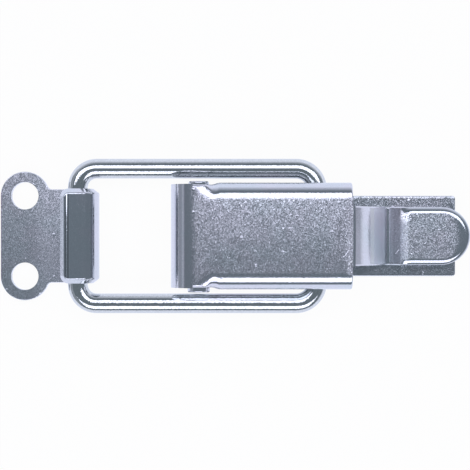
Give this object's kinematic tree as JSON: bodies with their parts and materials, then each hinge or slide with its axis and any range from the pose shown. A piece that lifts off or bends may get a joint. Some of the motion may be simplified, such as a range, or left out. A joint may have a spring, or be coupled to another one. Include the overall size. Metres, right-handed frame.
{
  "type": "over centre toggle latch",
  "caption": "Folded sheet steel over centre latch: a lever with finger tab draws a wire bail against a hooked keeper plate.",
  "frame": {"origin": "middle of the base plate's two screw holes, on the mounting plane", "axes": "+X from the keeper towards the lever's finger tab, +Z out of the mounting plane"},
  "size_m": [0.0764, 0.025, 0.0097],
  "materials": {
    "plated_sheet": "bright blue zinc plate, finely pitted on the flats and smooth on the folds",
    "plated_wire": "bright blue zinc plate, smooth drawn wire",
    "plated_rivet": "bright blue zinc plate"
  },
  "bodies": {
    "base": {"base_plate": "plated_sheet", "pivot_rivet": "plated_rivet"},
    "lever": {"lever": "plated_sheet"},
    "bail": {"wire_bail": "plated_wire"},
    "keeper": {"keeper_plate": "plated_sheet"}
  },
  "joints": [
    {"name": "lever_hinge", "type": "hinge", "parent": "base", "child": "lever", "pos_m": [-0.0235, 0, 0.0052], "axis": [0, -1, 0], "range_deg": [0, 110]},
    {"name": "bail_hinge", "type": "hinge", "parent": "lever", "child": "bail", "pos_m": [-0.0043, 0, 0.0035], "axis": [0, -1, 0], "range_deg": [-110, 0]},
    {"name": "keeper_slide", "type": "slide", "parent": "bail", "child": "keeper", "axis": [1, 0, 0], "range_m": [0, 0.006]}
  ],
  "couplings": [
    {"joint": "bail_hinge", "follows": "lever_hinge", "ratio": -1}
  ]
}
